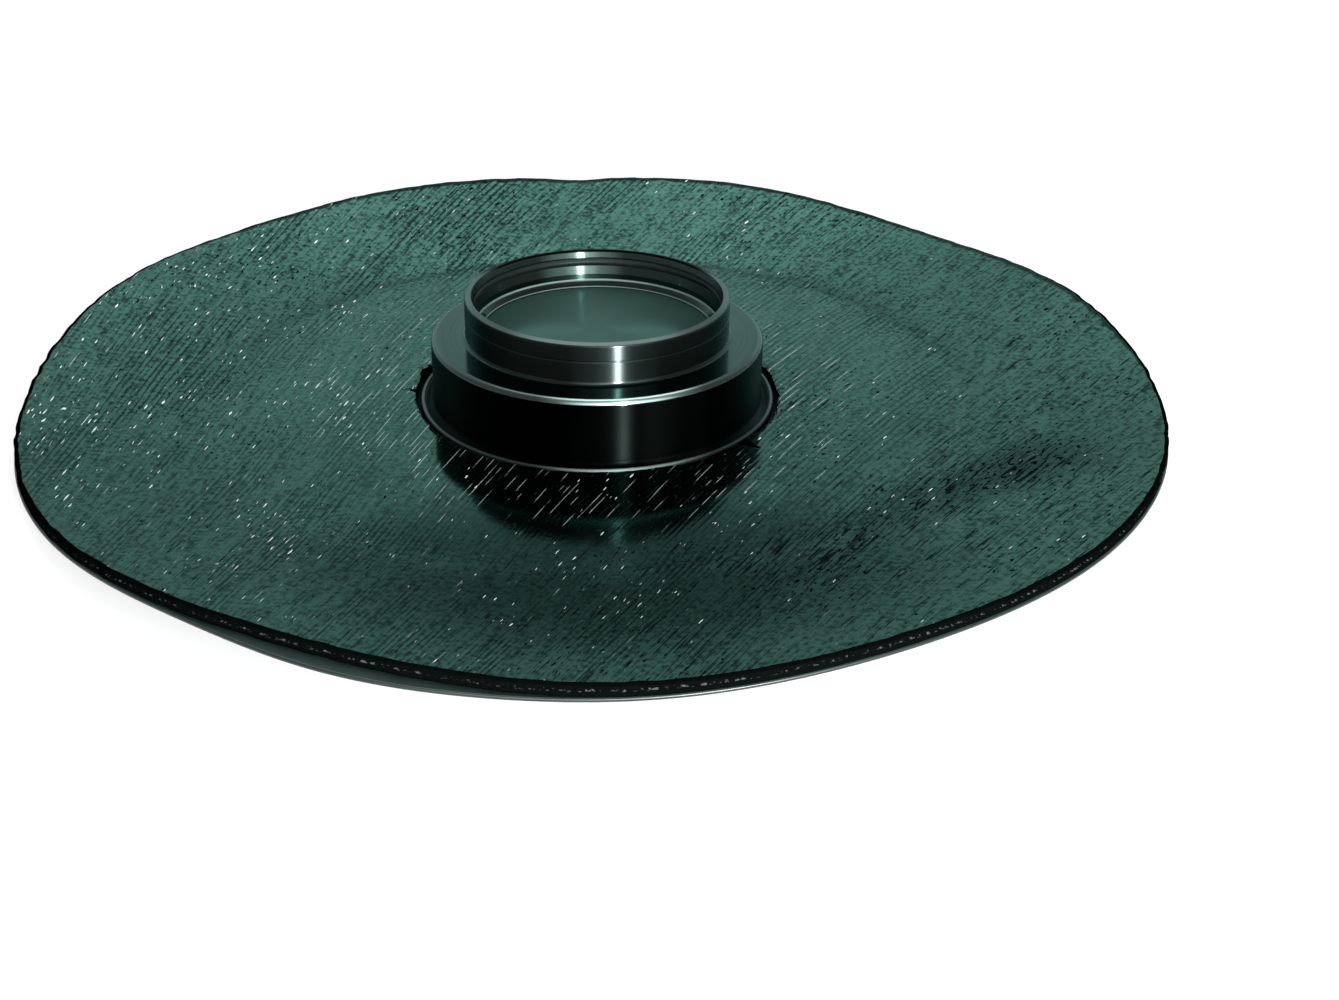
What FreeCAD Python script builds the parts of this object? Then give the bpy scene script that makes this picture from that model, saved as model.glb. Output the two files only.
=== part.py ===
import FreeCAD, Part
import math
import os
import Sketcher

# Roof pipe sleeve: a moulded collar whose flange is bonded between a bitumen sheet and a thin backing sheet
# Millimetres, +Z up along the socket, origin on the socket's axis at the underside of the backing

# Driving sizes, one cell of the spreadsheet each
SIZES = {
    # Socket ring, which takes a plain pipe end
    "pipe_diameter": 110.0,
    "socket_clearance": 0.3,
    "mouth_relief": 0.8,
    "ring_wall": 3.5,
    "mouth_depth": 1.2,
    "lead_in_height": 2.2,
    "upper_land": 0.6,
    "seal_groove_height": 4.0,
    "seal_groove_depth": 2.2,
    "guide_cone_height": 3.8,
    "guide_land": 2.7,
    "witness_drop": 7.7,
    "witness_width": 0.8,
    "witness_depth": 0.5,
    # Seal ring in the groove
    "seal_side_gap": 0.1,
    "seal_back_thickness": 1.0,
    "seal_lip_stand_off": 0.15,
    "seal_lip_rise": 1.6,
    "seal_lip_thickness": 0.8,
    # Body of the collar, a stepped cap on a flange
    "shoulder_width": 15.5,
    "body_wall": 3.5,
    "body_height": 33.2,
    "plate_thickness": 3.5,
    "floor_rise": 1.2,
    "web_thickness": 2.5,
    "foot_width": 5.7,
    "foot_height": 2.8,
    "flange_thickness": 3.0,
    "flange_width": 84.8,
    "flange_taper": 9.0,
    # Broken edges of the moulding
    "rim_bevel": 0.6,
    "foot_bevel": 1.0,
    "shoulder_bevel": 1.6,
    "ring_bevel": 1.2,
    "floor_bevel": 3.1,
    # Sheets
    "sheet_thickness": 5.0,
    "sheet_hole_gap": 2.6,
    "drape_run": 14.0,
    "drape_clearance": 0.3,
    "skirt_width": 73.8,
    "edge_lift": 18.5,
    "backing_thickness": 1.5,
    "backing_hole_gap": 1.5,
    "backing_margin": 0.6,
    "backing_reach": 8.0,
}

# The hand-cut edge at sixteen even stations, counter-clockwise from +X:
# the run-out of its radius and the wave of its lift
EDGE_RUN_OUT = [0, 0.5, 0, 0, -1, 0, 0, 0, -2, 0, 1.5, 0.5, 2, 1.5, 0.5, 0.5]
EDGE_WAVE = [-3.2, 1.1, -0.7, 6.2, 6.2, 7.4, 4.0, 2.8, -3.6, -5.4, -2.0, -0.6, -4.8, -1.2, -2.0, -3.6]

# Where the backing reaches out from under the sheet, in degrees
REACH_DIRECTION = 238.0
REACH_SPREAD = 22.0

# The sheet beyond the flange curls up: the share of the lift that is a straight slope.
# The rest grows with the square of the way out.
CURL_SLOPE = 0.32

# Stations round the edge, and rings of the curled surface as shares of the way from the drape to the edge
STATIONS = 48
CURL_RINGS = (0.0, 0.35, 0.7, 1.0)

# Lengths and sines closer than these are the same
SAME_LENGTH = 1e-4
SAME_ANGLE = 1e-9

doc = FreeCAD.newDocument("roof_pipe_sleeve")
sheet = doc.addObject("Spreadsheet::Sheet", "sizes")
for row, (name, value) in enumerate(SIZES.items(), start=1):
    sheet.set("A%d" % row, name)
    sheet.set("B%d" % row, str(value))
    sheet.setAlias("B%d" % row, name)
doc.recompute()


class Length:
    """A length that knows its value in millimetres and the formula that gives it from the sheet."""

    def __init__(self, value, formula):
        self.value = value
        self.formula = formula

    def __add__(self, other):
        return Length(self.value + other.value, "%s + %s" % (self.formula, other.formula))

    def __sub__(self, other):
        return Length(self.value - other.value, "%s - (%s)" % (self.formula, other.formula))

    def times(self, factor):
        return Length(self.value * factor, "(%s) * %r" % (self.formula, factor))

    def scaled(self, part, whole):
        formula = "(%s) * (%s) / (%s)" % (self.formula, part.formula, whole.formula)
        return Length(self.value * part.value / whole.value, formula)


def size(name):
    """A driving size of the sheet."""
    return Length(float(sheet.get(name)), "sizes.%s" % name)


NOTHING = Length(0.0, "0")

# Levels, from the ground up
flange_under = size("backing_thickness")
flange_top = flange_under + size("flange_thickness")
foot_top = flange_top + size("foot_height")
shoulder_top = flange_top + size("body_height")
plate_under = shoulder_top - size("plate_thickness")
floor_top = shoulder_top + size("floor_rise")
web_under = floor_top - size("web_thickness")
guide_under = floor_top + size("floor_bevel")
guide_top = guide_under + size("guide_land")
groove_under = guide_top + size("guide_cone_height")
groove_top = groove_under + size("seal_groove_height")
upper_land_top = groove_top + size("upper_land")
mouth_end = upper_land_top + size("lead_in_height")
rim_top = mouth_end + size("mouth_depth")
witness_top = rim_top - size("witness_drop")
witness_middle = witness_top - size("witness_width").times(0.5)
witness_under = witness_top - size("witness_width")
drape_at_edge = flange_top - size("flange_thickness").scaled(size("flange_taper"), size("drape_run"))
flange_edge_top = drape_at_edge - size("drape_clearance")

# Radii, from the pipe outwards
bore_radius = size("pipe_diameter").times(0.5) + size("socket_clearance")
mouth_radius = bore_radius + size("mouth_relief")
groove_radius = bore_radius + size("seal_groove_depth")
ring_radius = mouth_radius + size("ring_wall")
witness_radius = ring_radius - size("witness_depth")
web_radius = bore_radius - size("floor_bevel")
body_radius = ring_radius + size("shoulder_width")
well_radius = body_radius - size("body_wall")
foot_radius = body_radius + size("foot_width")
flange_flat = foot_radius + size("flange_width")
flange_radius = flange_flat + size("flange_taper")
drape_radius = flange_flat + size("drape_run")
sheet_radius = drape_radius + size("skirt_width")
sheet_hole = foot_radius + size("sheet_hole_gap")
backing_hole = well_radius + size("backing_hole_gap")


def turned_body(label, corners):
    """A body of revolution about Z: its half section has the given corners, each a radius and a level."""
    body = doc.addObject("PartDesign::Body", label)
    body.Label = label
    section = body.newObject("Sketcher::SketchObject", label + "_section")
    plane = next(item for item in body.Origin.OriginFeatures if item.Role == "XZ_Plane")
    section.AttachmentSupport = [(plane, "")]
    section.MapMode = "FlatFace"
    points = [FreeCAD.Vector(radius.value, level.value, 0) for radius, level in corners]
    for start, end in zip(points, points[1:] + points[:1]):
        section.addGeometry(Part.LineSegment(start, end))
    for index in range(len(points)):
        section.addConstraint(Sketcher.Constraint("Coincident", index, 2, (index + 1) % len(points), 1))
    for index, (radius, level) in enumerate(corners):
        hold(section, index, "DistanceX", radius)
        hold(section, index, "DistanceY", level)
    doc.recompute()
    turning = body.newObject("PartDesign::Revolution", label + "_turning")
    turning.Profile = section
    turning.ReferenceAxis = (section, ["V_Axis"])
    turning.Angle = 360.0
    doc.recompute()
    return body


def hold(section, index, direction, distance):
    """Holds the start of a sketch line at a distance from the sketch's own axis, by the sheet."""
    if distance is NOTHING:
        axis = -2 if direction == "DistanceX" else -1
        section.addConstraint(Sketcher.Constraint("PointOnObject", index, 1, axis))
        return
    place = section.addConstraint(Sketcher.Constraint(direction, -1, 1, index, 1, distance.value))
    section.setExpression("Constraints[%d]" % place, distance.formula)


def bevel_rings(body, label, amount, rings):
    """Bevels the circular edges of a body that lie at the given radii and levels."""
    base = body.Tip
    names = []
    for number, edge in enumerate(base.Shape.Edges, start=1):
        if not isinstance(edge.Curve, Part.Circle):
            continue
        for ring, level in rings:
            same_ring = abs(edge.Curve.Radius - ring.value) < SAME_LENGTH
            if same_ring and abs(edge.Curve.Center.z - level.value) < SAME_LENGTH:
                names.append("Edge%d" % number)
    if len(names) != len(rings):
        raise RuntimeError("%s: found %d of %d edges" % (label, len(names), len(rings)))
    bevel = body.newObject("PartDesign::Chamfer", label)
    bevel.Base = (base, names)
    bevel.setExpression("Size", amount.formula)
    doc.recompute()


def make_collar():
    """The moulded collar: flange, foot, body cap, closed web and socket ring, turned in one piece."""
    corners = [
        (NOTHING, floor_top),
        (bore_radius, floor_top),
        (bore_radius, guide_top),
        (mouth_radius, groove_under),
        (groove_radius, groove_under),
        (groove_radius, groove_top),
        (bore_radius, groove_top),
        (bore_radius, upper_land_top),
        (mouth_radius, mouth_end),
        (mouth_radius, rim_top),
        (ring_radius, rim_top),
        (ring_radius, witness_top),
        (witness_radius, witness_middle),
        (ring_radius, witness_under),
        (ring_radius, shoulder_top),
        (body_radius, shoulder_top),
        (body_radius, foot_top),
        (foot_radius, foot_top),
        (foot_radius, flange_top),
        (flange_flat, flange_top),
        (flange_radius, flange_edge_top),
        (flange_radius, flange_under),
        (well_radius, flange_under),
        (well_radius, plate_under),
        (web_radius, plate_under),
        (web_radius, web_under),
        (NOTHING, web_under),
    ]
    body = turned_body("collar", corners)
    bevel_rings(body, "floor_bevelling", size("floor_bevel"), [(bore_radius, floor_top)])
    bevel_rings(body, "ring_bevelling", size("ring_bevel"), [(ring_radius, shoulder_top)])
    bevel_rings(body, "shoulder_bevelling", size("shoulder_bevel"), [(body_radius, shoulder_top)])
    rims = [(mouth_radius, rim_top), (ring_radius, rim_top)]
    bevel_rings(body, "rim_bevelling", size("rim_bevel"), rims)
    bevel_rings(body, "foot_bevelling", size("foot_bevel"), [(foot_radius, foot_top)])
    return body


def make_seal_ring():
    """The seal ring pressed back in its groove, as around a pipe, with its lip just clear of the bore."""
    seal_under = groove_under + size("seal_side_gap")
    seal_top = groove_top - size("seal_side_gap")
    back_face = groove_radius - size("seal_back_thickness")
    lip_radius = bore_radius + size("seal_lip_stand_off")
    lip_under = groove_under + size("seal_lip_rise")
    lip_top = lip_under + size("seal_lip_thickness")
    corners = [
        (groove_radius, seal_under),
        (groove_radius, seal_top),
        (back_face, seal_top),
        (lip_radius, lip_top),
        (lip_radius, lip_under),
        (back_face, seal_under),
    ]
    return turned_body("seal_ring", corners)


def around(values, angle):
    """A smooth wave round the turn through values at even stations (trigonometric interpolation)."""
    count = len(values)
    total = 0.0
    for station, value in enumerate(values):
        offset = angle - 2 * math.pi * station / count
        if abs(math.sin(offset / 2)) < SAME_ANGLE:
            return value
        total += value * math.sin(count * offset / 2) / (count * math.tan(offset / 2))
    return total


def sheet_edge(angle):
    """Radius of the upper sheet's edge."""
    return sheet_radius.value + around(EDGE_RUN_OUT, angle)


def backing_edge(angle):
    """Radius of the backing's edge: a small margin all round, and a bump where it reaches out."""
    turn = (math.degrees(angle) - REACH_DIRECTION) / REACH_SPREAD
    reach = size("backing_reach").value * math.exp(-turn * turn)
    return sheet_edge(angle) + size("backing_margin").value + reach


def curl_point(angle, share, level):
    """A point of the curled skirt: share 0 is the end of the drape, 1 the sheet's edge."""
    radius = drape_radius.value + share * (sheet_edge(angle) - drape_radius.value)
    lift = size("edge_lift").value + around(EDGE_WAVE, angle)
    rise = lift * (CURL_SLOPE * share + (1 - CURL_SLOPE) * share * share)
    return FreeCAD.Vector(radius * math.cos(angle), radius * math.sin(angle), level + rise)


def reach_point(angle, level):
    """A point of the backing's edge, further out on the same curl."""
    run = sheet_edge(angle) - drape_radius.value
    return curl_point(angle, (backing_edge(angle) - drape_radius.value) / run, level)


def closed_curve(point_at):
    """A smooth closed wire through points at even stations; point_at gives the point at an angle."""
    points = [point_at(2 * math.pi * station / STATIONS) for station in range(STATIONS)]
    curve = Part.BSplineCurve()
    curve.interpolate(Points=points, PeriodicFlag=True, Parameters=list(range(STATIONS + 1)))
    return Part.Wire(curve.toShape())


def level_ring(radius, level):
    """A level ring drawn as the same kind of curve as the skirt's rings."""
    def place(angle):
        return FreeCAD.Vector(radius * math.cos(angle), radius * math.sin(angle), level)
    return closed_curve(place)


def curl_rings(level):
    """The rings of the curled skirt, from the end of the drape to the sheet's edge."""
    def ring(share):
        return closed_curve(lambda angle: curl_point(angle, share, level))
    return [ring(share) for share in CURL_RINGS]


def layer(rings_at, thickness):
    """A sheet's blank: one loft out along its underside, up its cut edge and back in along its top."""
    return Part.makeLoft(rings_at(0) + rings_at(thickness)[::-1], True, True)


def upper_blank():
    """The bitumen sheet without its hole: flat on the flange, draped past its edge, then curled."""
    def rings_at(height):
        crest = level_ring(flange_flat.value, flange_top.value + height)
        return [crest] + curl_rings(flange_under.value + height)
    return layer(rings_at, size("sheet_thickness").value)


def backing_blank():
    """The backing without its hole: flat on the ground under the flange and the drape, then curled."""
    def rings_at(height):
        return curl_rings(height) + [closed_curve(lambda angle: reach_point(angle, height))]
    return layer(rings_at, size("backing_thickness").value)


def make_sheet(label, blank, hole_radius):
    """A sheet with its round hole for the collar."""
    stock = doc.addObject("Part::Feature", label + "_blank")
    stock.Shape = blank
    punch = doc.addObject("Part::Cylinder", label + "_punch")
    punch.setExpression("Radius", hole_radius.formula)
    punch.setExpression("Height", rim_top.formula)
    cut = doc.addObject("Part::Cut", label)
    cut.Label = label
    cut.Base = stock
    cut.Tool = punch
    doc.recompute()
    return cut


def check(parts):
    """Stops the build if any object failed or any shape is empty, broken or in pieces."""
    for item in doc.Objects:
        if "Invalid" in item.State or "Error" in item.State:
            raise RuntimeError("%s failed: %s" % (item.Label, item.State))
    for part in parts:
        if part.Shape.isNull() or not part.Shape.isValid() or len(part.Shape.Solids) != 1:
            raise RuntimeError("%s has no sound shape" % part.Label)


parts = [
    make_collar(),
    make_seal_ring(),
    make_sheet("upper_sheet", upper_blank(), sheet_hole),
    make_sheet("backing_sheet", backing_blank(), backing_hole),
]
doc.recompute()
check(parts)
os.makedirs("parts", exist_ok=True)
for part in parts:
    part.Shape.exportStep("parts/%s.step" % part.Label)
    box = part.Shape.BoundBox
    print(part.Label, "volume", round(part.Shape.Volume), "box", [round(value, 2) for value in (
        box.XMin, box.YMin, box.ZMin, box.XMax, box.YMax, box.ZMax)])
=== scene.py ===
import math

import bpy
import numpy as np
from bpy.props import FloatProperty, FloatVectorProperty, PointerProperty
from mathutils import Matrix, Vector


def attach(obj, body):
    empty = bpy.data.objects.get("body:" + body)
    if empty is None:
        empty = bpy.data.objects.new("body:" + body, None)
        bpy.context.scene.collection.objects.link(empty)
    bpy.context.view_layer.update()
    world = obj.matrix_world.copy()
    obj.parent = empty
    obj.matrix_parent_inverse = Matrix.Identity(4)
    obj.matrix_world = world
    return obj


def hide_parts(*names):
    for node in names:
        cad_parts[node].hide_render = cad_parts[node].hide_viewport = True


bl_info = {
    "name": "Roof pipe sleeve",
    "version": (1, 0, 0),
    "blender": (4, 5, 0),
    "location": "View3D > Sidebar > Sleeve",
    "description": "Builds a moulded pipe collar on a round bitumen sheet, dressed for a studio picture",
    "category": "Object",
}

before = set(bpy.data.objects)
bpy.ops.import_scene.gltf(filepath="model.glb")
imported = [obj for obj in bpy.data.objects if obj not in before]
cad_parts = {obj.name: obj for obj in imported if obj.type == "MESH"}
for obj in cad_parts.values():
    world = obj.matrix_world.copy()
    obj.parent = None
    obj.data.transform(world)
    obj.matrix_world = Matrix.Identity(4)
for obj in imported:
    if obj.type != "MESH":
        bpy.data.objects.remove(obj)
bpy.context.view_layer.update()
MM = 0.001

# Points round the turned pieces and round the sheets, the rounding that adds a point to an arc,
# and the radius of the first ring round the axis on a closed face
TURN_POINTS = 512
SHEET_POINTS = 720
ARC_STEP = 0.25 * MM
FIRST_RING = 10 * MM

# The hand-cut edge at even stations, counter-clockwise from +X:
# the run-out of its radius and the wave of its lift, in mm
EDGE_RUN_OUT = (0, 0.5, 0, 0, -1, 0, 0, 0, -2, 0, 1.5, 0.5, 2, 1.5, 0.5, 0.5)
EDGE_WAVE = (-3.2, 1.1, -0.7, 6.2, 6.2, 7.4, 4.0, 2.8, -3.6, -5.4, -2.0, -0.6, -4.8, -1.2, -2.0, -3.6)

# Where the backing reaches out from under the sheet
REACH_DIRECTION = math.radians(250)
REACH_SPREAD = math.radians(12)

# The skirt rises from a crease this far outside the flange's edge, with a bend of this softness
CREASE_OUT = 3 * MM
CREASE_SOFTNESS = 3 * MM

# At the front the sheet's top climbs a little from the hole to the crease
BOW_DIRECTION = math.radians(270)
BOW_SLOPE = 0.028

# A short dip in the lifted edge at the back: direction, half width and depth
DIP_DIRECTION = math.radians(92.8)
DIP_SPREAD = math.radians(4.0)
DIP_DEPTH = 1.6 * MM

# Nicks torn in the hole's edge: direction, depth and width, the width as metres of edge
HOLE_NICKS = ((math.radians(180.3), 5.0 * MM, 1.4 * MM), (math.radians(166), 2.2 * MM, 8.0 * MM),
              (math.radians(318), 9.0 * MM, 1.8 * MM), (math.radians(309), 3.0 * MM, 5.0 * MM))

# Share of the edge's lift that is a straight slope
CURL_SLOPE = 0.85

# The brushed grain of the sheet fans out from a point, and is measured across at its distance from the axis.
# Its lines bend: straight away from the point at the middle distance, turning one way before and after it.
# Then the spacing of the lines and the length of the streaks along them
GRAIN_POINT = (-0.300, -0.700)
GRAIN_DISTANCE = 0.762
GRAIN_BEND = 0.43
GRAIN_MIDDLE = 0.747
GRAIN_SPACING = 2.9 * MM
GRAIN_LENGTH = 28 * MM

# The band of painted shade at the right front, a parabola: its right end, its run to the left and its drop
# over that run
SHADE_BAND_END = (0.235, -0.074)
SHADE_BAND_RUN = 0.138
SHADE_BAND_DROP = 0.070

# The patch of painted shade at the front of the sheet: its middle, and its reach to the sides and to the
# front
FRONT_SHADE = (0.004, -0.168)
FRONT_SHADE_REACH = (0.165, 0.092)

# The narrow front light: where it stands, the point that it faces, its width and its height
KEY_PLACE = (0.30, -1.05, 0.135)
KEY_TARGET = (0, 0, 0.135)
KEY_WIDTH = 0.025
KEY_HEIGHT = 0.23

# The studio floor: points round it, rings, radii of the first ring, of the flat and of the rim,
# rise of the rim, which hides the horizon, and the gap that keeps it clear of the part's underside
FLOOR_POINTS = 96
FLOOR_RINGS = 40
FLOOR_START = 0.2
FLOOR_FLAT = 5
FLOOR_REACH = 30
FLOOR_RISE = 2.4
FLOOR_GAP = 0.2 * MM


def length(name, description, default):
    """A property that holds a length in metres."""
    return FloatProperty(name=name, description=description, default=default, unit="LENGTH", precision=5)


def colour(name, description, default):
    """A property that holds a linear colour."""
    return FloatVectorProperty(name=name, description=description, default=default, subtype="COLOR",
                               min=0, max=1)


def share(name, description, default):
    """A property that holds a number from 0 to 1."""
    return FloatProperty(name=name, description=description, default=default, subtype="FACTOR", min=0, max=1)


def brightness(name, description, default):
    """A property that holds a brightness of the surroundings."""
    return FloatProperty(name=name, description=description, default=default, min=0)


def turning(name, description, default):
    """A property that holds an angle."""
    return FloatProperty(name=name, description=description, default=default, subtype="ANGLE", precision=5)


class SleeveCollarSizes(bpy.types.PropertyGroup):
    """Sizes of the moulded collar and its seal."""

    bore_radius: length("Bore radius", "Inside of the socket's guide", 55.3 * MM)
    mouth_radius: length("Mouth radius", "Inside of the socket at its rim", 56.1 * MM)
    groove_radius: length("Groove radius", "Bottom of the seal groove", 57.5 * MM)
    ring_radius: length("Ring radius", "Outside of the socket ring", 59.6 * MM)
    body_radius: length("Body radius", "Outside of the stepped body", 75.1 * MM)
    body_wall: length("Body wall", "Thickness of the body's wall", 3.5 * MM)
    foot_radius: length("Foot radius", "Outside of the foot lip", 80.8 * MM)
    flange_radius: length("Flange radius", "Outside of the flat of the flange", 165.6 * MM)
    flange_taper: length("Flange taper", "Width of the flange's thinned rim", 9.0 * MM)
    flange_under: length("Flange underside", "Level of the flange's underside", 1.5 * MM)
    flange_top: length("Flange top", "Level of the flange's top", 4.5 * MM)
    foot_top: length("Foot top", "Level of the foot lip's top", 7.3 * MM)
    plate_under: length("Plate underside", "Level of the underside of the body's top plate", 34.2 * MM)
    web_under: length("Web underside", "Level of the underside of the closed floor", 36.4 * MM)
    shoulder_top: length("Shoulder top", "Level of the shoulder", 37.7 * MM)
    floor_top: length("Floor top", "Level of the socket's floor", 38.9 * MM)
    floor_bevel: length("Floor bevel", "Width of the bevel round the floor", 3.1 * MM)
    guide_top: length("Guide top", "Level where the guide cone starts", 44.7 * MM)
    groove_under: length("Groove underside", "Level of the groove's lower side", 48.5 * MM)
    groove_top: length("Groove top", "Level of the groove's upper side", 52.5 * MM)
    land_top: length("Land top", "Level where the lead-in cone starts", 53.1 * MM)
    mouth_end: length("Mouth end", "Level where the lead-in cone ends", 55.3 * MM)
    rim_top: length("Rim top", "Level of the rim", 56.5 * MM)
    rim_slope: length("Rim slope", "Fall of the rim towards its outside", 0.8 * MM)
    line_drop: length("Line drop", "Depth of the fine line round the ring below the rim", 7.7 * MM)
    line_width: length("Line width", "Width of that line", 0.8 * MM)
    line_depth: length("Line depth", "Depth of that line in the ring", 0.5 * MM)
    bead_rise: length("Bead rise", "Rise of the bead on the foot lip", 1.1 * MM)
    seal_gap: length("Seal gap", "Gap above and below the seal in its groove", 0.1 * MM)
    seal_body: length("Seal body", "Thickness of the seal's body in its groove", 1.0 * MM)
    lip_gap: length("Lip gap", "Gap from the seal's lip to the bore", 0.15 * MM)
    lip_under: length("Lip underside", "Rise of the lip's underside over the groove's", 1.6 * MM)
    lip_height: length("Lip height", "Height of the lip's inner side", 0.8 * MM)


class SleeveSheetSizes(bpy.types.PropertyGroup):
    """Sizes of the bitumen sheet and the backing under it."""

    sheet_thickness: length("Sheet thickness", "Thickness of the bitumen sheet", 5.0 * MM)
    sheet_hole: length("Sheet hole", "Radius of the hole round the collar", 83.4 * MM)
    sheet_radius: length("Sheet radius", "Mean radius of the cut edge", 253.4 * MM)
    drape_radius: length("Drape radius", "Radius where the sheet lies on the backing", 179.6 * MM)
    edge_lift: length("Edge lift", "Mean lift of the curled edge", 18.5 * MM)
    backing_thickness: length("Backing thickness", "Thickness of the backing", 1.5 * MM)
    backing_hole: length("Backing hole", "Radius of the backing's hole", 73.1 * MM)
    backing_margin: length("Backing margin", "How far the backing stands out all round", 0.6 * MM)
    backing_reach: length("Backing reach", "How far it reaches out at the front left", 8.0 * MM)


class SleeveFinish(bpy.types.PropertyGroup):
    """Colours and gloss."""

    plastic: colour("Plastic", "Colour of the collar's glossy skin", (0.023, 0.036, 0.032))
    plastic_edge: colour("Plastic edge gloss", "Tint of its gloss at a flat angle", (0.72, 0.95, 0.92))
    # Painted highlight: a paler copy of the plastic on the shoulder's edge, the foot's bead and the rim; on
    # the edge and the bead it grows five times paler where they face the front light
    plastic_highlight: colour("Plastic highlight", "Colour of its edges' painted highlight", (0.065, 0.090, 0.084))
    # Painted shade: a near-black copy of the plastic for the body's wall and the back of the rim
    plastic_shade: colour("Plastic shade", "Colour of its dark outer wall", (0.0011, 0.0015, 0.0014))
    plastic_ring: colour("Ring plastic", "Colour of the ring's turned outside", (0.021, 0.0275, 0.0260))
    web: colour("Web", "Colour of the socket's closed floor", (0.050, 0.106, 0.089))
    # Painted highlight: pale lines round the socket's floor
    floor_line_highlight: colour("Floor line highlight", "Colour of the fine lines round the socket's floor", (0.20, 0.28, 0.26))
    rubber: colour("Rubber", "Colour of the seal", (0.003, 0.0045, 0.0042))
    rubber_edge: colour("Rubber gloss", "Tint of its gloss", (0.7, 1.0, 0.95))
    bitumen: colour("Bitumen", "Colour of the sheet's glossy skin", (0.026, 0.066, 0.054))
    bitumen_edge: colour("Bitumen edge gloss", "Tint of its gloss at a flat angle", (0.68, 0.95, 0.89))
    # Painted highlight: pale glints along the sheet's grain
    glint: colour("Fleck", "Colour of the painted glints in the grain", (0.52, 0.59, 0.57))
    cut_edge: colour("Cut edge", "Colour of the sheet's cut edge", (0.0008, 0.0012, 0.0011))
    carrier: colour("Carrier", "Colour of the fibre ends in the cut edge", (0.028, 0.031, 0.030))
    backing: colour("Backing", "Colour of the backing", (0.021, 0.042, 0.038))
    floor: colour("Floor", "Colour of the studio floor", (0.70, 0.70, 0.70))


class SleeveStudio(bpy.types.PropertyGroup):
    """Light and camera of the studio."""

    key_power: FloatProperty(name="Key power", description="Power of the narrow front light", default=42.0,
                             unit="POWER")
    sky_around: share("Surroundings", "Brightness of the surroundings all round", 0.5)
    sky_back: brightness("Back light", "Brightness of the wall behind the object", 1.2)
    sky_gap: brightness("Gap", "How much darker the gap above that wall is", 0.4)
    sky_top: brightness("Top light", "Brightness of the soft box above and behind", 2.5)
    sky_front: brightness("Front light", "Brightness of the soft box in front", 3.0)
    floor_glow: share("Floor glow", "Whiteness that the floor shows the camera of its own", 0.3)
    lens: FloatProperty(name="Lens", description="Focal length", default=45.27, subtype="DISTANCE_CAMERA")
    camera_place: FloatVectorProperty(name="Camera place", description="Where the camera stands",
                                      default=(0, -0.7095, 0.3322), subtype="TRANSLATION", precision=5)
    camera_pan: turning("Pan", "Turn of the camera to the right", 0.048)
    camera_tilt: turning("Tilt", "Turn of the camera downwards", 0.4927)
    camera_roll: turning("Roll", "Turn of the picture", -0.0189)


# Meshes

def grid_mesh(name, points, uv, close_section, start_pole=None, end_pole=None, section_materials=None):
    """A mesh from a grid of points (section, turn, 3) that closes round the turn.

    The section runs outwards along a top and inwards along an underside, so that faces point outwards.
    close_section joins the last row of the section to the first. A pole closes the first or the last row
    with a fan of triangles. uv holds each point's place (section, turn, 2); its turn runs on over the seam.
    section_materials gives each row of faces its material's number.
    """
    rows, turns = points.shape[:2]
    vertices = points.reshape(-1, 3)
    row = np.arange(rows if close_section else rows - 1)
    turn = np.arange(turns)
    low, side = np.meshgrid(row, turn, indexing="ij")
    high = (low + 1) % rows
    following = (side + 1) % turns
    quads = np.stack([low * turns + side, high * turns + side,
                      high * turns + following, low * turns + following], axis=-1).reshape(-1, 4)
    places = [uv[low, side], uv[high, side], uv[high, side + 1], uv[low, side + 1]]
    loops = np.stack(places, axis=2).reshape(-1, 2)
    triangles = np.empty((0, 3), int)
    for pole, edge_row, near, far in ((start_pole, 0, turn, turn + 1), (end_pole, rows - 1, turn + 1, turn)):
        if pole is None:
            continue
        tip = len(vertices)
        vertices = np.vstack([vertices, pole])
        fan = np.stack([edge_row * turns + near % turns, edge_row * turns + far % turns,
                        np.full(turns, tip)], axis=-1)
        triangles = np.vstack([triangles, fan])
        place = np.stack([uv[edge_row, near], uv[edge_row, far], uv[edge_row, turn]], axis=1)
        loops = np.vstack([loops, place.reshape(-1, 2)])
    mesh = bpy.data.meshes.new(name)
    corners = np.concatenate([quads.ravel(), triangles.ravel()])
    sizes = np.concatenate([np.full(len(quads), 4), np.full(len(triangles), 3)])
    starts = np.concatenate([[0], np.cumsum(sizes)[:-1]])
    mesh.vertices.add(len(vertices))
    mesh.vertices.foreach_set("co", vertices.astype(np.float32).ravel())
    mesh.loops.add(len(corners))
    mesh.loops.foreach_set("vertex_index", corners.astype(np.int32))
    mesh.polygons.add(len(sizes))
    mesh.polygons.foreach_set("loop_start", starts.astype(np.int32))
    mesh.polygons.foreach_set("use_smooth", np.ones(len(sizes), bool))
    if section_materials is not None:
        numbers = np.concatenate([np.repeat(section_materials[:len(row)], turns), np.zeros(len(triangles))])
        mesh.polygons.foreach_set("material_index", numbers.astype(np.int32))
    layer = mesh.uv_layers.new(name="surface")
    layer.data.foreach_set("uv", loops.astype(np.float32).ravel())
    mesh.update()
    mesh.validate()
    return mesh


def place_piece(mesh, materials, node):
    """Makes the mesh an object that stands for a node of the frame and rides with it."""
    piece = bpy.data.objects.new(mesh.name, mesh)
    bpy.context.scene.collection.objects.link(piece)
    for material in materials:
        mesh.materials.append(material)
    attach(piece, "root")
    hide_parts(node)
    return piece


def turn_angles(count):
    """Even angles round the turn."""
    return np.arange(count) * 2 * math.pi / count


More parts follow.
